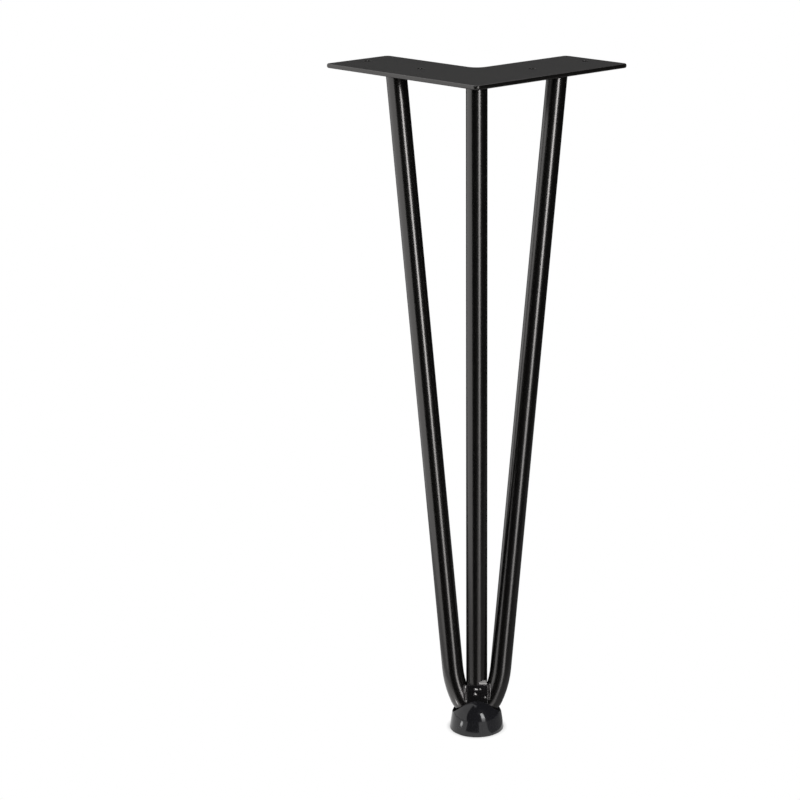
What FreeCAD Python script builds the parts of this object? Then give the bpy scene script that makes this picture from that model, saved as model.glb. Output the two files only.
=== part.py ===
import FreeCAD, Part
import math
import os
import Sketcher
from FreeCAD import Placement, Rotation, Vector

# Hairpin table leg with three rods: a flat L-shaped mounting plate, one rod bent to a
# hairpin at the foot, a straight rod from the plate's corner down into the crotch of
# the bend, the welds that join them, and a moulded cap that keeps the foot off the floor.
#
# Frame: +Z is up. The origin is on the plate's top face, where the centre lines of its
# two arms cross. The arms run along +X and +Y, and the foot stands out beyond the
# plate's outer corner, on the diagonal between -X and -Y.
#
# The rods, the welds and the cap are drawn in the leg's own frame, which has its origin
# at the plate's outer corner: X runs across the leg, Y runs along the diagonal towards
# the inside of the plate, and Z is up. The leg is alike on both sides of X = 0.

document = FreeCAD.newDocument("hairpin_leg")

# Driving dimensions, in millimetres and degrees.
SIZES = [
    ("leg_height", 360, "floor to the plate's top face"),
    ("arm_length", 125, "plate, outer corner to the end of an arm"),
    ("arm_width", 50, "plate, width of an arm"),
    ("plate_thickness", 2.5, "plate, sheet thickness"),
    ("plate_corner_radius", 3.3, "plate, outer corners"),
    ("plate_inner_radius", 6, "plate, corner between the arms"),
    ("plate_edge_chamfer", 0.4, "plate, broken edges of both faces"),
    ("hole_diameter", 4.2, "plate, screw holes"),
    ("hole_end_distance", 10, "plate, end of an arm to the nearer hole"),
    ("hole_spacing", 45, "plate, between the two holes of an arm"),
    ("rod_diameter", 12, "round bar of all three rods"),
    ("side_rod_along", 72.2, "outer corner to a side rod, along its arm"),
    ("side_rod_inset", 7.8, "outer edge to a side rod's axis"),
    ("corner_rod_inset", 10.4, "both outer edges to the centre rod's axis"),
    ("foot_outreach", 40.4, "how far the foot stands out from the outer corner"),
    ("bend_inner_radius", 4, "foot bend, inside of the bar"),
    ("bend_turn", 65, "foot bend, turn on each side in degrees"),
    ("shoulder_radius", 52, "flatter bend above it, to the bar's axis"),
    ("centre_rod_gap", 6, "inside of the foot bend to the centre rod's end"),
    ("foot_weld_diameter", 12.4, "weld in the crotch, plug of weld metal"),
    ("foot_weld_height", 11.7, "weld in the crotch, from top to bottom"),
    ("foot_weld_root", 0.7, "how deep it runs in below the inside of the bend"),
    ("foot_weld_crown", 1.4, "how far it stands proud of the rods in front"),
    ("foot_weld_bevel", 1.4, "its bevelled ends"),
    ("bead_leg", 2.6, "fillet weld at the plate, legs of its section"),
    ("bead_turn", 90, "fillet weld at the plate, angle round the rod"),
    ("cap_base_diameter", 30.8, "cap, at the floor"),
    ("cap_height", 18.8, "cap, floor to the top of its dome before the slot is cut"),
    ("cap_draft", 8.4, "cap, lean of its side in degrees"),
    ("cap_floor_thickness", 5.6, "cap, below the rod"),
    ("cap_saddle_radius", 18, "cap, dip of the slot's axis from end to end"),
    ("cap_base_chamfer", 0.5, "cap, broken edge at the floor"),
    ("fit_clearance", 0.15, "between the cap and the rod"),
]

sheet = document.addObject("Spreadsheet::Sheet", "Sizes")
for row, (alias, value, meaning) in enumerate(SIZES, start=1):
    sheet.set(f"A{row}", meaning)
    sheet.set(f"B{row}", str(value))
    sheet.setAlias(f"B{row}", alias)
document.recompute()


def size(alias):
    """A driving dimension as the sheet holds it."""
    return float(sheet.get(alias))


# Lengths and angles that follow from the driving dimensions, as expressions.
ROD_RADIUS = "Sizes.rod_diameter / 2"
FOOT_Y = "-Sizes.foot_outreach"
FOOT_Z = f"(Sizes.cap_floor_thickness + Sizes.fit_clearance + {ROD_RADIUS} - Sizes.leg_height)"
SIDE_TOP_X = "(Sizes.side_rod_along - Sizes.side_rod_inset) / sqrt(2)"
SIDE_TOP_Y = "(Sizes.side_rod_along + Sizes.side_rod_inset) / sqrt(2)"
SIDE_RUN = f"({SIDE_TOP_Y} + Sizes.foot_outreach)"
SIDE_RISE = f"(-Sizes.plate_thickness - {FOOT_Z})"
SIDE_LENGTH = f"sqrt({SIDE_RUN} ^ 2 + {SIDE_RISE} ^ 2)"
SIDE_TILT = f"atan2({SIDE_RUN}; {SIDE_RISE})"
CENTRE_TOP_Y = "Sizes.corner_rod_inset * sqrt(2)"
CENTRE_LIFT = f"({ROD_RADIUS} + Sizes.centre_rod_gap)"
CENTRE_END_Y = f"({FOOT_Y} + {CENTRE_LIFT} * sin({SIDE_TILT}))"
CENTRE_END_Z = f"({FOOT_Z} + {CENTRE_LIFT} * cos({SIDE_TILT}))"
CENTRE_RUN = f"({CENTRE_TOP_Y} - {CENTRE_END_Y})"
CENTRE_RISE = f"(-Sizes.plate_thickness - {CENTRE_END_Z})"
SLOT_RADIUS = f"({ROD_RADIUS} + Sizes.fit_clearance)"

X_AXIS = Vector(1, 0, 0)
Z_AXIS = Vector(0, 0, 1)

# The plate's diagonal, from its outer corner towards its inside, in degrees from +X.
DIAGONAL = 45


def origin_feature(body, role):
    """The plane or axis of a body's origin that has this role."""
    return next(f for f in body.Origin.OriginFeatures if f.Role == role)


def new_body(name, in_leg_frame=True):
    """An empty body, in the leg's frame unless it is drawn in the part's frame."""
    body = document.addObject("PartDesign::Body", name)
    body.Label = name
    if in_leg_frame:
        body.Placement = Placement(Vector(), Rotation(Z_AXIS, DIAGONAL - 90))
        body.setExpression(".Placement.Base.x", "-Sizes.arm_width / 2")
        body.setExpression(".Placement.Base.y", "-Sizes.arm_width / 2")
    return body


def attach(feature, body, role, offset=("0", "0", "0"), tilt=None, turned_about=-X_AXIS):
    """Puts a sketch or primitive on an origin plane, moved and leant back by tilt."""
    feature.AttachmentSupport = [(origin_feature(body, role), "")]
    feature.MapMode = "FlatFace"
    if tilt is not None:
        feature.AttachmentOffset = Placement(Vector(), Rotation(turned_about, 1))
        feature.setExpression(".AttachmentOffset.Rotation.Angle", tilt)
    for axis, expression in zip("xyz", offset):
        feature.setExpression(f".AttachmentOffset.Base.{axis}", expression)


def new_sketch(body, name, role, *where):
    sketch = body.newObject("Sketcher::SketchObject", name)
    attach(sketch, body, role, *where)
    return sketch


def dimension(sketch, name, expression, kind, *where):
    """Adds a named dimension and ties it to an expression."""
    document.recompute()
    index = sketch.addConstraint(Sketcher.Constraint(kind, *where, sketch_value(sketch, kind, where)))
    sketch.renameConstraint(index, name)
    sketch.setExpression(f"Constraints.{name}", expression)


def sketch_value(sketch, kind, where):
    """What a new dimension measures now, so that adding it moves nothing."""
    if kind == "Radius":
        return sketch.Geometry[where[0]].Radius
    if kind == "Angle":
        run = sketch.getPoint(where[0], 2) - sketch.getPoint(where[0], 1)
        return math.atan2(run.y, run.x)
    first = Vector()
    if len(where) == 4:
        first = sketch.getPoint(where[0], where[1])
    last = sketch.getPoint(where[-2], where[-1])
    return (last - first).x if kind == "DistanceX" else (last - first).y


def circle_sketch(body, name, radius, role, offset, tilt=None):
    """A circle about the sketch's origin."""
    sketch = new_sketch(body, name, role, offset, tilt)
    sketch.addGeometry(Part.Circle(Vector(), Z_AXIS, size("rod_diameter") / 2), False)
    sketch.addConstraint(Sketcher.Constraint("Coincident", 0, 3, -1, 1))
    dimension(sketch, "circle_radius", radius, "Radius", 0)
    return sketch


def trim_at_plate(body, half_width, middle_y):
    """Cuts a rod flush with the plate's underside, where it is welded on."""
    sketch = new_sketch(body, body.Name + "_trim", "XY_Plane", ("0", "0", "-Sizes.plate_thickness"))
    wide = 2 * size("arm_width")
    corners = [Vector(x * wide, y * wide, 0) for x, y in ((-1, -1), (1, -1), (1, 1), (-1, 1))]
    for start, end in zip(corners, corners[1:] + corners[:1]):
        sketch.addGeometry(Part.LineSegment(start, end), False)
    for side in range(4):
        sketch.addConstraint(Sketcher.Constraint("Coincident", side, 2, (side + 1) % 4, 1))
        sketch.addConstraint(Sketcher.Constraint("Vertical" if side % 2 else "Horizontal", side))
    reach = "2 * Sizes.rod_diameter"
    dimension(sketch, "left", f"-({half_width} + {reach})", "DistanceX", 0, 1)
    dimension(sketch, "right", f"{half_width} + {reach}", "DistanceX", 1, 1)
    dimension(sketch, "near", f"{middle_y} - {reach}", "DistanceY", 0, 1)
    dimension(sketch, "far", f"{middle_y} + {reach}", "DistanceY", 2, 1)
    pocket = body.newObject("PartDesign::Pocket", body.Name + "_flush_end")
    pocket.Profile = sketch
    pocket.Type = "ThroughAll"
    pocket.Reversed = True
    return pocket


def corner_edges(shape, points):
    """Names of the upright edges that stand at these corners."""
    names = []
    for index, edge in enumerate(shape.Edges, start=1):
        if abs(edge.tangentAt(edge.FirstParameter).z) < 0.99:
            continue
        foot = edge.Vertexes[0].Point
        if any(abs(foot.x - x) < 1e-3 and abs(foot.y - y) < 1e-3 for x, y in points):
            names.append(f"Edge{index}")
    return names


def level_edges(shape, level):
    """Names of the edges that lie flat at this height."""
    return [f"Edge{index}" for index, edge in enumerate(shape.Edges, start=1)
            if abs(edge.BoundBox.ZMin - level) < 1e-3 and abs(edge.BoundBox.ZMax - level) < 1e-3]


def new_fillet(body, name, base, edges, radius):
    fillet = body.newObject("PartDesign::Fillet", name)
    fillet.Base = (base, edges)
    fillet.Radius = 0.1
    fillet.setExpression("Radius", radius)
    document.recompute()
    return fillet


def new_chamfer(body, name, base, edges, width):
    chamfer = body.newObject("PartDesign::Chamfer", name)
    chamfer.Base = (base, edges)
    chamfer.Size = 0.1
    chamfer.setExpression("Size", width)
    document.recompute()
    return chamfer


# Mounting plate: a flat L cut from sheet, with two screw holes in each arm.

plate = new_body("mounting_plate", in_leg_frame=False)
outline = new_sketch(plate, "plate_outline", "XY_Plane")
half = size("arm_width") / 2
reach = size("arm_length") - half
outline_corners = [(-half, -half), (reach, -half), (reach, half),
                   (half, half), (half, reach), (-half, reach)]
for start, end in zip(outline_corners, outline_corners[1:] + outline_corners[:1]):
    outline.addGeometry(Part.LineSegment(Vector(*start, 0), Vector(*end, 0)), False)
for side in range(6):
    outline.addConstraint(Sketcher.Constraint("Coincident", side, 2, (side + 1) % 6, 1))
    outline.addConstraint(Sketcher.Constraint("Vertical" if side % 2 else "Horizontal", side))
dimension(outline, "corner_x", "-Sizes.arm_width / 2", "DistanceX", 0, 1)
dimension(outline, "corner_y", "-Sizes.arm_width / 2", "DistanceY", 0, 1)
dimension(outline, "x_arm_length", "Sizes.arm_length", "DistanceX", 0, 1, 0, 2)
dimension(outline, "x_arm_width", "Sizes.arm_width", "DistanceY", 1, 1, 1, 2)
dimension(outline, "y_arm_width", "Sizes.arm_width", "DistanceX", 4, 2, 4, 1)
dimension(outline, "y_arm_length", "Sizes.arm_length", "DistanceY", 5, 2, 5, 1)
sheet_metal = plate.newObject("PartDesign::Pad", "plate_sheet")
sheet_metal.Profile = outline
sheet_metal.Reversed = True
sheet_metal.setExpression("Length", "Sizes.plate_thickness")
document.recompute()

inner_corner = [outline_corners[3]]
outer_corners = outline_corners[:3] + outline_corners[4:]
rounded = new_fillet(plate, "plate_outer_corners", sheet_metal,
                     corner_edges(sheet_metal.Shape, outer_corners), "Sizes.plate_corner_radius")
rounded = new_fillet(plate, "plate_inner_corner", rounded,
                     corner_edges(rounded.Shape, inner_corner), "Sizes.plate_inner_radius")
face_edges = level_edges(rounded.Shape, 0) + level_edges(rounded.Shape, -size("plate_thickness"))
new_chamfer(plate, "plate_edges", rounded, face_edges, "Sizes.plate_edge_chamfer")

holes = new_sketch(plate, "screw_holes", "XY_Plane")
far_hole = "Sizes.arm_length - Sizes.arm_width / 2 - Sizes.hole_end_distance"
near_hole = f"{far_hole} - Sizes.hole_spacing"
hole_places = [(near_hole, "0"), (far_hole, "0"), ("0", near_hole), ("0", far_hole)]
for index, (x, y) in enumerate(hole_places):
    start = Vector(half if x != "0" else 0, half if y != "0" else 0, 0)
    holes.addGeometry(Part.Circle(start, Z_AXIS, size("hole_diameter") / 2), False)
    dimension(holes, f"hole_{index}_radius", "Sizes.hole_diameter / 2", "Radius", index)
    for kind, place in (("DistanceX", x), ("DistanceY", y)):
        if place == "0":
            on_axis = -2 if kind == "DistanceX" else -1
            holes.addConstraint(Sketcher.Constraint("PointOnObject", index, 3, on_axis))
        else:
            dimension(holes, f"hole_{index}_{kind}", place, kind, index, 3)
punched = plate.newObject("PartDesign::Pocket", "punched_holes")
punched.Profile = holes
punched.Type = "ThroughAll"

# Hairpin rod: half of the bent bar is swept from the foot up to one arm, mirrored, and
# cut flush with the plate's underside. The bend is a tight arc at the foot that opens
# into a flatter arc, and the leg above is straight.

hairpin = new_body("hairpin_rod")
foot_in_side_plane = ("0", FOOT_Z, f"-({FOOT_Y})")
route = new_sketch(hairpin, "hairpin_route", "XZ_Plane", foot_in_side_plane, SIDE_TILT)
document.recompute()
upright = math.radians(90)
turned = math.radians(size("bend_turn"))
bend_radius = size("bend_inner_radius") + size("rod_diameter") / 2
leg_top = Vector(size("side_rod_along") / math.sqrt(2), size("leg_height"), 0)
leg_lean = math.atan2(leg_top.x, leg_top.y)
foot_arc = Part.ArcOfCircle(Part.Circle(Vector(0, bend_radius, 0), Z_AXIS, bend_radius),
                            -upright, turned - upright)
joint = foot_arc.EndPoint
towards_centre = (Vector(0, bend_radius, 0) - joint).normalize()
shoulder_centre = joint + towards_centre * size("shoulder_radius")
shoulder_arc = Part.ArcOfCircle(Part.Circle(shoulder_centre, Z_AXIS, size("shoulder_radius")),
                                turned - upright, -leg_lean)
leg_start = shoulder_arc.EndPoint
route.addGeometry(foot_arc, False)
route.addGeometry(shoulder_arc, False)
route.addGeometry(Part.LineSegment(leg_start, leg_top), False)
route.addGeometry(Part.Point(leg_top), True)
route.addConstraint(Sketcher.Constraint("Coincident", 0, 1, -1, 1))
route.addConstraint(Sketcher.Constraint("PointOnObject", 0, 3, -2))
dimension(route, "bend_radius", f"Sizes.bend_inner_radius + {ROD_RADIUS}", "Radius", 0)
dimension(route, "bend_reach", f"(Sizes.bend_inner_radius + {ROD_RADIUS}) * sin(Sizes.bend_turn)",
          "DistanceX", 0, 2)
route.addConstraint(Sketcher.Constraint("Tangent", 0, 2, 1, 1))
dimension(route, "shoulder_radius", "Sizes.shoulder_radius", "Radius", 1)
route.addConstraint(Sketcher.Constraint("Tangent", 1, 2, 2, 1))
route.addConstraint(Sketcher.Constraint("PointOnObject", 3, 1, 2))
dimension(route, "top_across", SIDE_TOP_X, "DistanceX", 3, 1)
dimension(route, "top_up", SIDE_LENGTH, "DistanceY", 3, 1)
dimension(route, "spare_length", "Sizes.rod_diameter", "DistanceY", 3, 1, 2, 2)
bar = circle_sketch(hairpin, "hairpin_bar", ROD_RADIUS, "YZ_Plane", (FOOT_Y, FOOT_Z, "0"))
document.recompute()
half_hairpin = hairpin.newObject("PartDesign::AdditivePipe", "half_hairpin")
half_hairpin.Profile = bar
half_hairpin.Spine = (route, ["Edge1", "Edge2", "Edge3"])
document.recompute()
whole_hairpin = hairpin.newObject("PartDesign::Mirrored", "whole_hairpin")
whole_hairpin.Originals = [half_hairpin]
whole_hairpin.MirrorPlane = (origin_feature(hairpin, "YZ_Plane"), [""])
hairpin.Tip = whole_hairpin
document.recompute()
trim_at_plate(hairpin, SIDE_TOP_X, SIDE_TOP_Y)
document.recompute()

# Centre rod: a straight bar from the plate's corner to the crotch of the hairpin, where
# its end is coped to the two legs that it stands between.

centre_bar = new_body("centre_bar")
centre_foot = circle_sketch(centre_bar, "centre_bar_end", ROD_RADIUS, "XY_Plane",
                            ("0", CENTRE_END_Y, CENTRE_END_Z), f"atan2({CENTRE_RUN}; {CENTRE_RISE})")
straight_bar = centre_bar.newObject("PartDesign::Pad", "straight_bar")
straight_bar.Profile = centre_foot
straight_bar.setExpression("Length", f"sqrt({CENTRE_RUN} ^ 2 + {CENTRE_RISE} ^ 2) + Sizes.rod_diameter")
document.recompute()
trim_at_plate(centre_bar, "0", CENTRE_TOP_Y)
document.recompute()


def new_cut(name, base, tool):
    cut = document.addObject("Part::Cut", name)
    cut.Label = name
    cut.Base = base
    cut.Tool = tool
    cut.Refine = True
    return cut


centre_rod = new_cut("centre_rod", centre_bar, hairpin)
document.recompute()

# Weld in the crotch: a plug of weld metal that fills the space between the centre rod's
# end and the inside of the foot bend. It was laid from the outer side, where it stands a
# little proud of the rods.

weld_metal = new_body("weld_metal")
weld_foot = f"({ROD_RADIUS} - Sizes.foot_weld_root)"
weld_lead = f"({ROD_RADIUS} + Sizes.foot_weld_crown - Sizes.foot_weld_diameter / 2)"
weld_disc = circle_sketch(weld_metal, "weld_disc", "Sizes.foot_weld_diameter / 2", "XY_Plane", (
    "0",
    f"{FOOT_Y} + {weld_foot} * sin({SIDE_TILT}) - {weld_lead} * cos({SIDE_TILT})",
    f"{FOOT_Z} + {weld_foot} * cos({SIDE_TILT}) + {weld_lead} * sin({SIDE_TILT})"), SIDE_TILT)
weld_plug = weld_metal.newObject("PartDesign::Pad", "weld_plug")
weld_plug.Profile = weld_disc
weld_plug.setExpression("Length", "Sizes.foot_weld_height")
document.recompute()
end_edges = [f"Edge{index}" for index, edge in enumerate(weld_plug.Shape.Edges, start=1)
             if edge.isClosed()]
new_chamfer(weld_metal, "weld_ends", weld_plug, end_edges, "Sizes.foot_weld_bevel")
weld_between_legs = new_cut("weld_between_legs", weld_metal, hairpin)
foot_weld = new_cut("foot_weld", weld_between_legs, centre_rod)
document.recompute()

# Fillet welds at the plate: each lies in the corner between a rod's top and the plate's
# underside, and is cut to the rod that it holds. The rods lean in over the plate, and
# the beads lie on that open inner side, out of sight from outside the table.


def plate_weld(name, place, rod):
    """One bead, turned about the point where the rod meets the plate."""
    bead = document.addObject("PartDesign::Body", name + "_metal")
    bead.Placement = Placement(Vector(), Rotation(Z_AXIS, 1))
    bead.setExpression(".Placement.Rotation.Angle", f"{DIAGONAL} - Sizes.bead_turn / 2")
    for axis, expression in zip("xyz", place + ("-Sizes.plate_thickness - Sizes.bead_leg",)):
        bead.setExpression(f".Placement.Base.{axis}", expression)
    cone = bead.newObject("PartDesign::AdditiveCone", name + "_cone")
    cone.setExpression("Radius1", ROD_RADIUS)
    cone.setExpression("Radius2", f"{ROD_RADIUS} + Sizes.bead_leg")
    cone.setExpression("Height", "Sizes.bead_leg")
    cone.setExpression("Angle", "Sizes.bead_turn")
    document.recompute()
    return new_cut(name, bead, rod)


edge_line = "(Sizes.side_rod_inset - Sizes.arm_width / 2)"
along_arm = "(Sizes.side_rod_along - Sizes.arm_width / 2)"
corner_line = "(Sizes.corner_rod_inset - Sizes.arm_width / 2)"
welds = [
    plate_weld("x_arm_weld", (along_arm, edge_line), hairpin),
    plate_weld("y_arm_weld", (edge_line, along_arm), hairpin),
    plate_weld("corner_weld", (corner_line, corner_line), centre_rod),
]
document.recompute()

# Floor cap: its side leans in, and runs smoothly into a ball that closes it over the top.
# A slot runs across it for the foot of the hairpin. The slot leans with the rod, and
# its bottom dips as a saddle does, so the rod is held at the middle and stands clear at
# the ends. The slot's section, with flat walls and a bevelled bottom that cradles the
# bar, is turned through half a circle, which carries it out past both ends.

cap = new_body("floor_cap")
profile = new_sketch(cap, "cap_profile", "YZ_Plane", (FOOT_Y, "-Sizes.leg_height", "0"))
base_corner = Vector(size("cap_base_diameter") / 2, 0, 0)
crown = Vector(0, size("cap_height"), 0)
draft = math.radians(size("cap_draft"))
outwards = Vector(math.cos(draft), math.sin(draft), 0)
dome_radius = (base_corner - crown).dot(outwards) / (1 - outwards.y)
dome_centre = crown - Vector(0, dome_radius, 0)
dome = Part.ArcOfCircle(Part.Circle(dome_centre, Z_AXIS, dome_radius), draft, upright)
profile.addGeometry(Part.LineSegment(Vector(), base_corner), False)
profile.addGeometry(Part.LineSegment(base_corner, dome.StartPoint), False)
profile.addGeometry(dome, False)
profile.addGeometry(Part.LineSegment(dome.EndPoint, Vector()), False)
profile.addConstraint(Sketcher.Constraint("Coincident", 0, 2, 1, 1))
profile.addConstraint(Sketcher.Constraint("Tangent", 1, 2, 2, 1))
profile.addConstraint(Sketcher.Constraint("Coincident", 2, 2, 3, 1))
profile.addConstraint(Sketcher.Constraint("Coincident", 3, 2, 0, 1))
profile.addConstraint(Sketcher.Constraint("Coincident", 0, 1, -1, 1))
profile.addConstraint(Sketcher.Constraint("Horizontal", 0))
profile.addConstraint(Sketcher.Constraint("Vertical", 3))
profile.addConstraint(Sketcher.Constraint("PointOnObject", 2, 3, -2))
dimension(profile, "base_radius", "Sizes.cap_base_diameter / 2", "DistanceX", 0, 2)
dimension(profile, "side_lean", "(90 + Sizes.cap_draft) * 1 deg", "Angle", 1)
dimension(profile, "cap_height", "Sizes.cap_height", "DistanceY", 2, 2)
turned_cap = cap.newObject("PartDesign::Revolution", "turned_cap")
turned_cap.Profile = profile
turned_cap.ReferenceAxis = (profile, ["V_Axis"])
turned_cap.Angle = 360
document.recompute()

section = new_sketch(cap, "slot_section", "YZ_Plane", (FOOT_Y, FOOT_Z, "0"), SIDE_TILT, -Z_AXIS)
half_bevel_turn = 45 / 2
bevel = f"({SLOT_RADIUS} * tan({half_bevel_turn}))"
slot_corners = [
    (f"-{SLOT_RADIUS}", "Sizes.cap_saddle_radius"), (f"-{SLOT_RADIUS}", f"-{bevel}"),
    (f"-{bevel}", f"-{SLOT_RADIUS}"), (bevel, f"-{SLOT_RADIUS}"),
    (SLOT_RADIUS, f"-{bevel}"), (SLOT_RADIUS, "Sizes.cap_saddle_radius"),
]
places = [Vector(*(float(sheet.evalExpression(length)) for length in corner), 0)
          for corner in slot_corners]
for start, end in zip(places, places[1:] + places[:1]):
    section.addGeometry(Part.LineSegment(start, end), False)
for index, (across, up) in enumerate(slot_corners):
    section.addConstraint(Sketcher.Constraint("Coincident", (index - 1) % len(places), 2, index, 1))
    dimension(section, f"corner_{index}_across", across, "DistanceX", index, 1)
    dimension(section, f"corner_{index}_up", up, "DistanceY", index, 1)
section.addGeometry(Part.LineSegment(places[-1], places[0]), True)
section.addConstraint(Sketcher.Constraint("Coincident", 6, 1, 5, 1))
section.addConstraint(Sketcher.Constraint("Coincident", 6, 2, 0, 1))
document.recompute()
slot = cap.newObject("PartDesign::Groove", "rod_slot")
slot.Profile = section
slot.ReferenceAxis = (section, ["Axis0"])
slot.Midplane = True
slot.Angle = 180
document.recompute()
new_chamfer(cap, "floor_edge", slot, level_edges(slot.Shape, slot.Shape.BoundBox.ZMin),
            "Sizes.cap_base_chamfer")

# Each piece is checked, and then written to a file of its own.

PIECES = [plate, hairpin, centre_rod, foot_weld, *welds, cap]

document.recompute()
for item in document.Objects:
    if {"Invalid", "Error"} & set(item.State):
        raise RuntimeError(f"{item.Label} failed: {item.State}")
for piece in PIECES:
    if piece.Shape.isNull() or not piece.Shape.isValid() or len(piece.Shape.Solids) != 1:
        raise RuntimeError(f"{piece.Label} is not one valid solid")

os.makedirs("parts", exist_ok=True)
for piece in PIECES:
    piece.Shape.exportStep(f"parts/{piece.Label}.step")
    print(f"{piece.Label}: {piece.Shape.Volume:.0f} mm3")
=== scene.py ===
# Hairpin table leg: a flat L-shaped mounting plate, a rod bent to a hairpin at the foot,
# a straight rod between its legs, the welds that join them, and a cap on the foot.
# Everything is in metres, in the part's own frame: +Z is up, out of the plate's top face,
# the plate's arms run along +X and +Y, and the foot stands out past their corner.
import bpy
import bmesh
import math
from mathutils import Matrix, Vector


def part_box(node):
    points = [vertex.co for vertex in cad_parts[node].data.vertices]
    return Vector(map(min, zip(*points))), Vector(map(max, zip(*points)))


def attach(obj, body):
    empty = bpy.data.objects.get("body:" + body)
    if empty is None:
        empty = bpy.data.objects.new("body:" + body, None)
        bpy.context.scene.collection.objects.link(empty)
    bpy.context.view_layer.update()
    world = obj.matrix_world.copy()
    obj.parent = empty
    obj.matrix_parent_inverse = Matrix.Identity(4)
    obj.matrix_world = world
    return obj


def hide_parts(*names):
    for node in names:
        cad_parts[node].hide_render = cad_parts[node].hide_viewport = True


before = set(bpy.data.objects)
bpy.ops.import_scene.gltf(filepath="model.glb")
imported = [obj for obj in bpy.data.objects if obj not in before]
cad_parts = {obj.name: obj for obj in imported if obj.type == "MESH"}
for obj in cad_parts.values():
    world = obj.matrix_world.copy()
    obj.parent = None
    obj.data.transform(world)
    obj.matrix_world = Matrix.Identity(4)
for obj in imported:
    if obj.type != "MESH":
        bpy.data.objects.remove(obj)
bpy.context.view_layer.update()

# Camera: on the leg's diagonal, facing the plate's outer corner, a little above the plate
# and looking down. It stands far off with a long lens.
camera_distance = 1.2096
camera_height = 0.5406
camera_pitch = math.radians(16.5)
camera_lens = 100.4
camera_sensor = 36.0
camera_shift = -0.0959

plate_low, plate_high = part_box("mounting_plate")
cap_low, cap_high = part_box("floor_cap")
floor_level = cap_low.z
foot = Vector(((cap_low.x + cap_high.x) / 2, (cap_low.y + cap_high.y) / 2, floor_level))
forward = Vector((1, 1, 0)).normalized()

camera = bpy.data.objects.new("camera", bpy.data.cameras.new("camera"))
bpy.context.scene.collection.objects.link(camera)
camera.data.sensor_width = camera_sensor
camera.data.lens = camera_lens
camera.data.shift_x = camera_shift
over_corner = Vector((plate_low.x, plate_low.y, floor_level + camera_height))
camera.location = over_corner - forward * camera_distance
camera.rotation_euler = (math.pi / 2 - camera_pitch, 0, -math.pi / 4)
bpy.context.scene.camera = camera

# Studio: a white room behind a pale floor, which reads as plain white to the camera and
# in reflections. Close to the foot the floor shows more of its lit paint, which keeps the
# soft shadow that the foot throws on it. As the lit paint is darker than the white, it also
# paints a faint shade round the foot.
room_light = 0.25
floor_radius = 6.0
floor_sides = 96
floor_colour = (0.93, 0.93, 0.93, 1)
floor_roughness = 0.7
# Painted shade: less white at the foot, so a faint ring round it is darker than the floor.
painted_shade_white_share = 0.6
shadow_and_painted_shade_reach = (0.015, 0.018)


def place(name, shape):
    """Puts a shape into the scene, as an object of its own."""
    thing = bpy.data.objects.new(name, bpy.data.meshes.new(name))
    shape.to_mesh(thing.data)
    shape.free()
    bpy.context.scene.collection.objects.link(thing)
    return thing


def seen_directly(tree):
    """One where a ray comes from the camera, a reflection or a clear material."""
    path = tree.nodes.new("ShaderNodeLightPath")
    either = tree.nodes.new("ShaderNodeMath")
    either.operation = "MAXIMUM"
    tree.links.new(path.outputs["Is Camera Ray"], either.inputs[0])
    tree.links.new(path.outputs["Is Glossy Ray"], either.inputs[1])
    any_of_them = tree.nodes.new("ShaderNodeMath")
    any_of_them.operation = "MAXIMUM"
    tree.links.new(either.outputs[0], any_of_them.inputs[0])
    tree.links.new(path.outputs["Is Transmission Ray"], any_of_them.inputs[1])
    return any_of_them.outputs[0]


world = bpy.data.worlds.new("white_room")
bpy.context.scene.world = world
world.use_nodes = True
room = world.node_tree
background = room.nodes["Background"]
background.inputs["Color"].default_value = (1, 1, 1, 1)
strength = room.nodes.new("ShaderNodeMapRange")
strength.inputs["To Min"].default_value = room_light
strength.inputs["To Max"].default_value = 1.0
room.links.new(seen_directly(room), strength.inputs["Value"])
room.links.new(strength.outputs["Result"], background.inputs["Strength"])

floor_mesh = bmesh.new()
bmesh.ops.create_circle(floor_mesh, cap_ends=True, segments=floor_sides, radius=floor_radius)
bmesh.ops.translate(floor_mesh, verts=floor_mesh.verts, vec=foot)
floor = place("floor", floor_mesh)
floor_paint = bpy.data.materials.new("pale_floor")
floor_paint.use_nodes = True
paint = floor_paint.node_tree
lit = paint.nodes["Principled BSDF"]
lit.inputs["Base Color"].default_value = floor_colour
lit.inputs["Roughness"].default_value = floor_roughness
white = paint.nodes.new("ShaderNodeEmission")
where = paint.nodes.new("ShaderNodeTexCoord")
off_foot = paint.nodes.new("ShaderNodeVectorMath")
off_foot.operation = "DISTANCE"
off_foot.inputs[1].default_value = foot
paint.links.new(where.outputs["Object"], off_foot.inputs[0])
# Painted shade: the white fades out towards the foot, where the darker lit paint shows as well as
# the real shadow.
share = paint.nodes.new("ShaderNodeMapRange")
share.interpolation_type = "SMOOTHSTEP"
share.inputs["From Min"].default_value, share.inputs["From Max"].default_value = shadow_and_painted_shade_reach
share.inputs["To Min"].default_value = painted_shade_white_share
paint.links.new(off_foot.outputs["Value"], share.inputs["Value"])
white_seen = paint.nodes.new("ShaderNodeMath")
white_seen.operation = "MULTIPLY"
paint.links.new(seen_directly(paint), white_seen.inputs[0])
paint.links.new(share.outputs["Result"], white_seen.inputs[1])
blend = paint.nodes.new("ShaderNodeMixShader")
paint.links.new(white_seen.outputs[0], blend.inputs["Fac"])
paint.links.new(lit.outputs["BSDF"], blend.inputs[1])
paint.links.new(white.outputs["Emission"], blend.inputs[2])
paint.links.new(blend.outputs["Shader"], paint.nodes["Material Output"].inputs["Surface"])
floor.data.materials.append(floor_paint)

# Lamps: a tall strip at the front right, dimmer towards the floor, which draws the bright
# line down each rod, a faint soft box on the left, where the white room draws the grey
# band, and a box behind the leg, for the rims that face up.


def from_foot(turn_left, distance, height):
    """A point at this turn from the camera's side of the foot, as seen from above."""
    towards_camera = Matrix.Rotation(-math.radians(turn_left), 3, "Z") @ -forward
    return foot + towards_camera * distance + Vector((0, 0, height))


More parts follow.
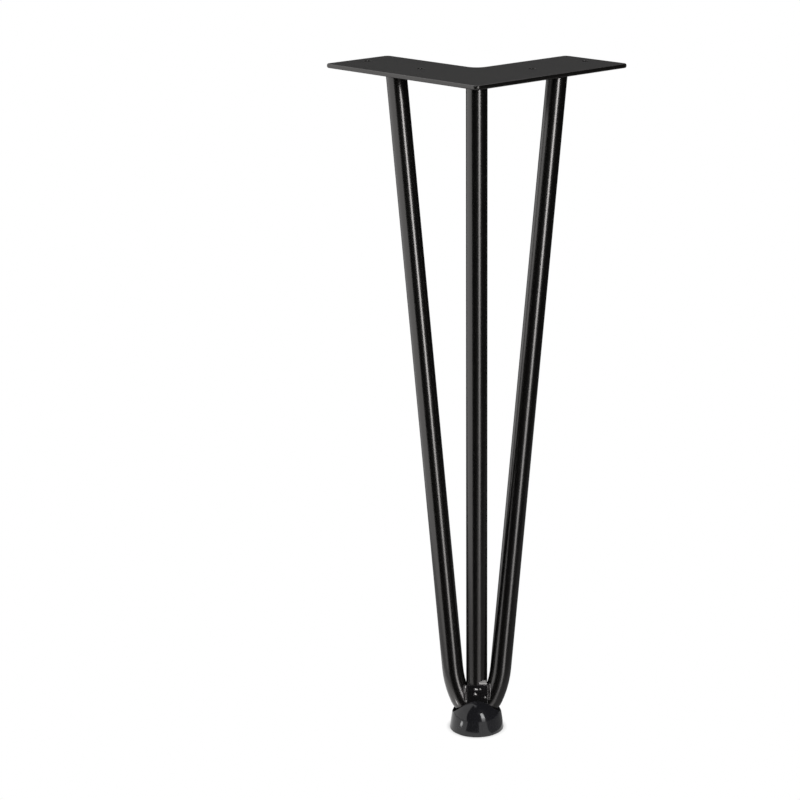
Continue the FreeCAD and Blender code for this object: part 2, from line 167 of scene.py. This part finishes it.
# Each is (name, turn to the left of the camera, distance, height, height that it faces,
# width, tall, radiance).
lamps = [
    ("left_soft_box", 78, 1.5, 0.62, 0.62, 2.0, 1.5, 0.12),
    ("strip_high", -31.5, 1.5, 1.9, 1.9, 0.42, 2.6, 9.0),
    ("strip_middle", -31.5, 1.5, 0.45, 0.45, 0.42, 0.3, 4.2),
    ("strip_low", -31.5, 1.5, 0.15, 0.15, 0.42, 0.3, 2.4),
    ("back_box", 168, 1.1, 1.4, 0.0, 1.5, 0.8, 0.85),
]
for name, turn_left, distance, height, faced, width, tall, radiance in lamps:
    lamp = bpy.data.objects.new(name, bpy.data.lights.new(name, "AREA"))
    bpy.context.scene.collection.objects.link(lamp)
    lamp.data.shape = "RECTANGLE"
    lamp.data.size = width
    lamp.data.size_y = tall
    lamp.data.energy = radiance * math.pi * width * tall
    lamp.location = from_foot(turn_left, distance, height)
    aim = foot + Vector((0, 0, faced))
    lamp.rotation_euler = (aim - lamp.location).to_track_quat("-Z", "Y").to_euler()
    lamp.visible_camera = False

# Cards round the leg, which only reflections see. The walls keep black metal black, and
# stand behind the lamps. The floor cards tone the floor down where the metal mirrors it,
# apart from left_glint, a small bright one that draws the spot on the left of the cap.
card_radius = 2.6
card_turn_steps = 24
# Walls are (name, first turn to the left, last, grey).
wall_rise_steps = 12
wall_cards = [
    ("black_wall", -150, 37, 0.01),
    ("back_wall", 140, 210, 0.085),
]
# Floor cards are (name, first turn to the left, last, inner radius, outer radius, grey).
# The first lies just above the floor, and each of the others just above the one before.
lowest_card = 0.0005
card_gap = 0.0001
floor_cards = [
    ("front_floor_card", -8, 37, 0.03, card_radius, 0.04),
    ("strip_near_floor_card", -40, -8, 0.018, 0.12, 0.9),
    ("strip_floor_card", -42, -8, 0.12, card_radius, 0.7),
    ("right_near_floor_card", -150, -40, 0.018, 0.12, 0.22),
    ("right_floor_card", -150, -42, 0.12, 0.75, 0.13),
    ("right_far_floor_card", -150, -42, 0.75, card_radius, 0.03),
    ("left_floor_card", 37, 140, 0.12, 0.45, 0.45),
    ("back_floor_card", 140, 210, 0.03, card_radius, 0.12),
    ("left_glint", 55, 63, 0.034, 0.052, 8.0),
]
# The flap stands close by on the left, and hides the front of the soft box. Its corners
# are (turn to the left, distance, height).
flap_corners = ((44.4, 0.403, 0.0), (115.9, 0.108, 0.5), (-5.7, 0.201, 0.5), (16.7, 0.522, 0.0))
flap_grey = 0.01


def stand_card(name, grey, shape):
    """Stands a card of this shape by the leg, seen by reflections only."""
    card = place(name, shape)
    card_paint = bpy.data.materials.new(name)
    card_paint.use_nodes = True
    tree = card_paint.node_tree
    flat = tree.nodes.new("ShaderNodeEmission")
    flat.inputs["Color"].default_value = (grey, grey, grey, 1)
    tree.links.new(flat.outputs["Emission"], tree.nodes["Material Output"].inputs["Surface"])
    card.data.materials.append(card_paint)
    card.visible_camera = False
    card.visible_diffuse = False
    card.visible_transmission = False
    card.visible_shadow = False


def sweep_card(shape, profile, first, last):
    """Turns a card's profile round the foot, from one turn to another."""
    bmesh.ops.spin(shape, geom=profile, axis=(0, 0, 1), cent=foot, angle=math.radians(first - last),
                   steps=card_turn_steps, use_merge=False)


for name, first, last, grey in wall_cards:
    wall = bmesh.new()
    base = wall.verts.new(from_foot(first, card_radius, 0))
    sideways = (base.co - foot).cross(Vector((0, 0, 1)))
    bmesh.ops.spin(wall, geom=[base], cent=foot, axis=sideways, angle=math.pi / 2,
                   steps=wall_rise_steps)
    sweep_card(wall, list(wall.verts) + list(wall.edges), first, last)
    stand_card(name, grey, wall)
for layer, (name, first, last, near, far, grey) in enumerate(floor_cards):
    sector = bmesh.new()
    height = lowest_card + card_gap * layer
    ends = [sector.verts.new(from_foot(first, radius, height)) for radius in (near, far)]
    sweep_card(sector, ends + [sector.edges.new(ends)], first, last)
    stand_card(name, grey, sector)
flap = bmesh.new()
flap.faces.new([flap.verts.new(from_foot(*corner)) for corner in flap_corners])
stand_card("left_flap", flap_grey, flap)

# Mounting plate: steel sheet, cut to an L with rounded corners, broken edges and two screw
# holes in each arm. It is welded to the rods, and the leg is then powder coated: a satin
# black with a fine orange peel, and slow changes of gloss where the coat is thicker.
arm_width = 0.05
plate_corner_radius = 0.0033
plate_corner_steps = 8
plate_inner_radius = 0.006
plate_inner_steps = 10
hole_radius = 0.0021
hole_sides = 40
hole_centres = ((0.045, 0), (0.09, 0), (0, 0.045), (0, 0.09))
plate_edge_round = 0.0009
hole_edge_round = 0.0002
edge_round_steps = 4
sharp_turn = math.radians(80)
thick_coat_scale = 60.0
thick_coat_detail = 4.0
peel_detail = 2.0
peel_depth = 0.0001
coat_specular = 1.0
coat_specular_tint = (1, 0.965, 0.95, 1)


def new_powder_coat():
    """The grain of the coat, as a group: colour, roughness and normal over the surface."""
    group = bpy.data.node_groups.new("powder_coat_grain", "ShaderNodeTree")
    for name, way, kind in (("Black", "INPUT", "Color"), ("Worn Black", "INPUT", "Color"),
                            ("Least Roughness", "INPUT", "Float"),
                            ("Roughness Spread", "INPUT", "Float"),
                            ("Peel Size", "INPUT", "Float"), ("Peel Height", "INPUT", "Float"),
                            ("Color", "OUTPUT", "Color"), ("Roughness", "OUTPUT", "Float"),
                            ("Normal", "OUTPUT", "Vector")):
        group.interface.new_socket(name, in_out=way, socket_type="NodeSocket" + kind)
    inputs = group.nodes.new("NodeGroupInput")
    outputs = group.nodes.new("NodeGroupOutput")
    where = group.nodes.new("ShaderNodeTexCoord")
    thick = group.nodes.new("ShaderNodeTexNoise")
    thick.inputs["Scale"].default_value = thick_coat_scale
    thick.inputs["Detail"].default_value = thick_coat_detail
    group.links.new(where.outputs["Object"], thick.inputs["Vector"])
    peel = group.nodes.new("ShaderNodeTexNoise")
    peel.inputs["Detail"].default_value = peel_detail
    group.links.new(where.outputs["Object"], peel.inputs["Vector"])
    group.links.new(inputs.outputs["Peel Size"], peel.inputs["Scale"])
    colour = group.nodes.new("ShaderNodeMix")
    colour.data_type = "RGBA"
    group.links.new(thick.outputs["Fac"], colour.inputs["Factor"])
    group.links.new(inputs.outputs["Black"], colour.inputs["A"])
    group.links.new(inputs.outputs["Worn Black"], colour.inputs["B"])
    group.links.new(colour.outputs["Result"], outputs.inputs["Color"])
    roughness = group.nodes.new("ShaderNodeMath")
    roughness.operation = "MULTIPLY_ADD"
    group.links.new(thick.outputs["Fac"], roughness.inputs[0])
    group.links.new(inputs.outputs["Roughness Spread"], roughness.inputs[1])
    group.links.new(inputs.outputs["Least Roughness"], roughness.inputs[2])
    group.links.new(roughness.outputs[0], outputs.inputs["Roughness"])
    bump = group.nodes.new("ShaderNodeBump")
    bump.inputs["Distance"].default_value = peel_depth
    group.links.new(inputs.outputs["Peel Height"], bump.inputs["Strength"])
    group.links.new(peel.outputs["Fac"], bump.inputs["Height"])
    group.links.new(bump.outputs["Normal"], outputs.inputs["Normal"])
    return group


powder_coat = new_powder_coat()


def coated(name, black, worn, least_roughness, spread, peel_size, peel_height):
    """A material with the powder coat's grain on a plain dielectric."""
    material = bpy.data.materials.new(name)
    material.use_nodes = True
    tree = material.node_tree
    shader = tree.nodes["Principled BSDF"]
    shader.inputs["Specular IOR Level"].default_value = coat_specular
    shader.inputs["Specular Tint"].default_value = coat_specular_tint
    grain = tree.nodes.new("ShaderNodeGroup")
    grain.node_tree = powder_coat
    grain.inputs["Black"].default_value = (*black, 1)
    grain.inputs["Worn Black"].default_value = (*worn, 1)
    grain.inputs["Least Roughness"].default_value = least_roughness
    grain.inputs["Roughness Spread"].default_value = spread
    grain.inputs["Peel Size"].default_value = peel_size
    grain.inputs["Peel Height"].default_value = peel_height
    tree.links.new(grain.outputs["Color"], shader.inputs["Base Color"])
    tree.links.new(grain.outputs["Roughness"], shader.inputs["Roughness"])
    tree.links.new(grain.outputs["Normal"], shader.inputs["Normal"])
    return material


def settle(name, shape, finish, slot, *replaced):
    """Makes a finished piece of a shape. It is fixed to the leg, in place of CAD nodes."""
    piece = place(name, shape)
    piece.data.shade_smooth()
    piece.data.materials.append(finish)
    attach(piece, "root")
    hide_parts(*replaced)
    return piece


plate_coat = coated("plate_powder_coat", (0.003, 0.0028, 0.0026), (0.0048, 0.0044, 0.0042),
                    least_roughness=0.26, spread=0.05, peel_size=1500, peel_height=0.08)
plate = bmesh.new()
low, high, inner = plate_low.x, plate_high.x, plate_low.x + arm_width
outline = [(low, low), (high, low), (high, inner), (inner, inner), (inner, high), (low, high)]
corners = [plate.verts.new((x, y, plate_low.z)) for x, y in outline]
plate.faces.new(corners)
inner_corner = corners.pop(outline.index((inner, inner)))
for rounded, radius, steps in ((corners, plate_corner_radius, plate_corner_steps),
                               ([inner_corner], plate_inner_radius, plate_inner_steps)):
    bmesh.ops.bevel(plate, geom=rounded, offset=radius, offset_type="OFFSET", segments=steps,
                    profile=0.5, affect="VERTICES", material=-1)
bmesh.ops.delete(plate, geom=list(plate.faces), context="FACES_ONLY")
for x, y in hole_centres:
    bmesh.ops.create_circle(plate, segments=hole_sides, radius=hole_radius,
                            matrix=Matrix.Translation((x, y, plate_low.z)))
bmesh.ops.triangle_fill(plate, edges=plate.edges, use_beauty=True, normal=(0, 0, -1))
sheet = bmesh.ops.extrude_face_region(plate, geom=list(plate.faces), use_keep_orig=True)
top = [item for item in sheet["geom"] if isinstance(item, bmesh.types.BMVert)]
bmesh.ops.translate(plate, verts=top, vec=(0, 0, plate_high.z - plate_low.z))
bmesh.ops.recalc_face_normals(plate, faces=plate.faces)
rims = [edge for edge in plate.edges if edge.calc_face_angle() > sharp_turn]
hole_rims = [edge for edge in rims
             if any((edge.verts[0].co.xy - Vector(centre)).length < 2 * hole_radius
                    for centre in hole_centres)]
outer_rims = [edge for edge in rims if edge not in hole_rims]
for broken, radius in ((hole_rims, hole_edge_round), (outer_rims, plate_edge_round)):
    bmesh.ops.bevel(plate, geom=broken, offset=radius, offset_type="OFFSET",
                    segments=edge_round_steps, profile=0.5, affect="EDGES", material=-1)
plate_sheet = settle("plate_sheet", plate, plate_coat, "plate_coat", "mounting_plate")
plate_sheet.modifiers.new("even_shading", "WEIGHTED_NORMAL")

# Rods: steel round bar. One is bent at the foot to a hairpin, and the centre rod runs
# straight down into the bend, where its end is coped to fit. They are cut flush with the
# plate's underside, and their coat is a little smoother than the plate's.
rod_coat = coated("rod_powder_coat", (0.0018, 0.0017, 0.0015), (0.0032, 0.003, 0.0027),
                  least_roughness=0.2, spread=0.04, peel_size=1100, peel_height=0.035)
for name in ("hairpin_rod", "centre_rod"):
    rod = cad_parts[name]
    rod.data.materials.clear()
    rod.data.materials.append(rod_coat)

# Welds at the plate: a short bead of weld metal in the corner between the plate and the
# inner side of each rod. It is laid in drops that overlap, and coated with the leg.
bead_radius = 0.0018
bead_turn = 72
bead_drops = 7
bead_below_plate = 0.0008
bead_off_rod = 0.0009
bead_easing = 3
drop_detail = 3
weld_voxel = 0.0002
rod_radius = 0.006
rod_tops = {
    "x_arm_weld": (0.0472, -0.0172),
    "y_arm_weld": (-0.0172, 0.0472),
    "corner_weld": (-0.0146, -0.0146),
}
weld_coat = coated("weld_powder_coat", (0.003, 0.003, 0.0033), (0.005, 0.005, 0.0056),
                   least_roughness=0.17, spread=0.06, peel_size=700, peel_height=0.06)


def skinned(thing, voxel, easing):
    """The shape of an object under one even skin, its edges eased. The object itself goes."""
    skin = thing.modifiers.new("even_skin", "REMESH")
    skin.mode = "VOXEL"
    skin.voxel_size = voxel
    eased = thing.modifiers.new("eased_edges", "SMOOTH")
    eased.iterations = easing
    finished = thing.evaluated_get(bpy.context.evaluated_depsgraph_get())
    mesh = bpy.data.meshes.new_from_object(finished)
    shape = bmesh.new()
    shape.from_mesh(mesh)
    bpy.data.meshes.remove(mesh)
    bpy.data.meshes.remove(thing.data)
    return shape


def melt(drops, easing, pads=()):
    """Drops of metal, each a centre and a radius, that have run together with square pads."""
    rough = bmesh.new()
    for pad in pads:
        bmesh.ops.create_cube(rough, size=1, matrix=pad)
    for centre, radius in drops:
        bmesh.ops.create_icosphere(rough, subdivisions=drop_detail, radius=radius,
                                   matrix=Matrix.Translation(centre))
    return skinned(place("drops", rough), weld_voxel, easing)


for node, (x, y) in rod_tops.items():
    rod_top = Vector((x, y, plate_low.z - bead_below_plate))
    drops = []
    for index in range(bead_drops):
        turn = math.radians(bead_turn * (index / (bead_drops - 1) - 0.5))
        outwards = Matrix.Rotation(turn, 3, "Z") @ forward
        drops.append((rod_top + outwards * (rod_radius + bead_off_rod), bead_radius))
    settle(node + "_bead", melt(drops, bead_easing), weld_coat, "rod_coat", node)

# Weld at the foot: weld metal that fills the crotch between the centre rod's end and the
# bend, coated with the leg. It is a smooth pad with a ledge across the rod and a few small
# facets, and a thin run goes up the inner side of each leg.
rod_lean = math.radians(15.67)
foot_axis_height = 0.01175
foot_weld_easing = 7
mm_in_metre = 1000
up_the_leg = forward * math.sin(rod_lean) + Vector((0, 0, math.cos(rod_lean)))
across_the_leg = Vector((1, -1, 0)).normalized()
out_of_the_leg = across_the_leg.cross(up_the_leg)
foot_frame = Matrix((across_the_leg, up_the_leg, out_of_the_leg)).transposed().to_4x4()
foot_frame.translation = foot + Vector((0, 0, foot_axis_height))
# A run is (steps from point to point, and its points), and each point is (across, up, out,
# radius), in millimetres from the middle of the bent bar.
weld_runs = [
    (12, (-3.6, 12.0, 3.3, 2.9), (0.2, 11.9, 3.5, 2.8), (3.6, 12.4, 3.1, 3.1)),
    (24, (-6.7, 5.2, 5.0, 1.15), (-7.0, 9.0, 4.8, 1.25), (-6.8, 12.6, 4.0, 1.15)),
    (24, (7.1, 5.6, 5.0, 1.15), (7.5, 9.5, 4.6, 1.2), (7.3, 13.4, 3.7, 1.15)),
]
# The pads are (middle, size, turn to the right, tilt up), in millimetres and degrees.
weld_pads = [
    ((0.35, 8.0, 3.2), (11.9, 10.6, 5.9), 0, 0),
    ((3.2, 14.5, 4.5), (5.2, 2.9, 3.0), 12, 25),
    ((-4.3, 13.4, 4.2), (2.2, 2.4, 2.6), 6, 29),
    ((-0.6, 10.9, 5.25), (2.0, 1.6, 2.4), 14, 19),
    ((-1.1, 8.4, 5.15), (1.4, 2.1, 2.4), 14, 19),
    ((4.8, 6.6, 5.0), (1.9, 1.7, 2.4), 14, 19),
    ((1.6, 10.8, 5.35), (0.9, 0.9, 2.2), 14, 19),
]
drops = []
for count, *points in weld_runs:
    for start, end in zip(points, points[1:]):
        for index in range(count + 1):
            drop = Vector(start).lerp(Vector(end), index / count) / mm_in_metre
            drops.append((foot_frame @ drop.xyz, drop.w))
pads = []
for middle, size, turn, tilt in weld_pads:
    turned = (Matrix.Rotation(math.radians(turn), 4, "Y")
              @ Matrix.Rotation(-math.radians(tilt), 4, "X"))
    pads.append(foot_frame @ Matrix.Translation(Vector(middle) / mm_in_metre) @ turned
                @ Matrix.Diagonal(Vector(size) / mm_in_metre).to_4x4())
settle("foot_weld_lump", melt(drops, foot_weld_easing, pads), weld_coat, "rod_coat", "foot_weld")

# Floor cap: moulded plastic, glossy from the mould, pushed on over the bend. It is turned
# in shape, with a slot across it that cradles the bent bar and is open at both ends.
cap_base_radius = 0.01539
cap_side_lean = math.radians(8.38)
cap_shoulder_centre = Vector((0.00472, 0, 0.00687))
cap_shoulder_steps = 16
cap_crown_radius = 0.01579
cap_crown_centre = Vector((0, 0, 0.0028))
cap_crown_steps = 24
cap_sides = 128
cap_voxel = 0.0003
cap_easing = 7
slot_radius = 0.0062
slot_sides = 48
slot_wall = 0.011
slot_saddle_radius = 0.01843
slot_turn = math.radians(150)
slot_turn_steps = 72
same_place = 1e-6
cap_black = (0.0105, 0.0105, 0.0125, 1)
cap_pale_black = (0.015, 0.015, 0.0172, 1)
cap_least_roughness = 0.06
cap_most_roughness = 0.16
flow_scale = 120.0
flow_detail = 5.0

cap = bmesh.new()
crown = cap.verts.new(cap_crown_centre + Vector((0, 0, cap_crown_radius)))
crown_turn = math.atan2(cap_shoulder_centre.x, cap_shoulder_centre.z - cap_crown_centre.z)
arc = bmesh.ops.spin(cap, geom=[crown], cent=cap_crown_centre, axis=(0, 1, 0),
                     angle=crown_turn, steps=cap_crown_steps)
shoulder = [item for item in arc["geom_last"] if isinstance(item, bmesh.types.BMVert)]
arc = bmesh.ops.spin(cap, geom=shoulder, cent=cap_shoulder_centre, axis=(0, 1, 0),
                     angle=math.pi / 2 - cap_side_lean - crown_turn, steps=cap_shoulder_steps)
side_top = [item for item in arc["geom_last"] if isinstance(item, bmesh.types.BMVert)][0]
rim = cap.verts.new((cap_base_radius, 0, 0))
middle = cap.verts.new((0, 0, 0))
cap.edges.new((side_top, rim))
cap.edges.new((rim, middle))
bmesh.ops.spin(cap, geom=list(cap.verts) + list(cap.edges), cent=(0, 0, 0), axis=(0, 0, 1),
               angle=2 * math.pi, steps=cap_sides, use_merge=True)
bmesh.ops.remove_doubles(cap, verts=cap.verts, dist=same_place)
bmesh.ops.recalc_face_normals(cap, faces=cap.faces)
bmesh.ops.translate(cap, verts=cap.verts, vec=foot)

slot = bmesh.new()
bmesh.ops.create_circle(slot, cap_ends=True, segments=slot_sides, radius=slot_radius,
                        matrix=Matrix.Rotation(math.pi / 2, 4, "Y"))
upper = [vert for vert in slot.verts if vert.co.y > same_place]
bmesh.ops.translate(slot, verts=upper, vec=(0, slot_wall, 0))
turning_point = Vector((0, slot_saddle_radius, 0))
bmesh.ops.rotate(slot, verts=slot.verts, cent=turning_point,
                 matrix=Matrix.Rotation(-slot_turn / 2, 3, "Z"))
bmesh.ops.spin(slot, geom=list(slot.verts) + list(slot.edges) + list(slot.faces),
               cent=turning_point, axis=(0, 0, 1), angle=slot_turn, steps=slot_turn_steps)
bmesh.ops.transform(slot, verts=slot.verts, matrix=foot_frame)
bmesh.ops.recalc_face_normals(slot, faces=slot.faces)
cutter = place("slot_cutter", slot)
blank = place("cap_blank", cap)
cut = blank.modifiers.new("slot", "BOOLEAN")
cut.object = cutter
cut.solver = "EXACT"
cap = skinned(blank, cap_voxel, cap_easing)
bpy.data.meshes.remove(cutter.data)

cap_plastic = bpy.data.materials.new("cap_plastic")
cap_plastic.use_nodes = True
plastic = cap_plastic.node_tree
cap_shader = plastic.nodes["Principled BSDF"]
where = plastic.nodes.new("ShaderNodeTexCoord")
flow = plastic.nodes.new("ShaderNodeTexNoise")
flow.inputs["Scale"].default_value = flow_scale
flow.inputs["Detail"].default_value = flow_detail
plastic.links.new(where.outputs["Object"], flow.inputs["Vector"])
tint = plastic.nodes.new("ShaderNodeMix")
tint.data_type = "RGBA"
tint.inputs["A"].default_value = cap_black
tint.inputs["B"].default_value = cap_pale_black
plastic.links.new(flow.outputs["Fac"], tint.inputs["Factor"])
plastic.links.new(tint.outputs["Result"], cap_shader.inputs["Base Color"])
polish = plastic.nodes.new("ShaderNodeMapRange")
polish.inputs["To Min"].default_value = cap_least_roughness
polish.inputs["To Max"].default_value = cap_most_roughness
plastic.links.new(flow.outputs["Fac"], polish.inputs["Value"])
plastic.links.new(polish.outputs["Result"], cap_shader.inputs["Roughness"])
settle("floor_cap_moulding", cap, cap_plastic, "cap_plastic", "floor_cap")

bpy.context.scene.view_settings.view_transform = "Standard"
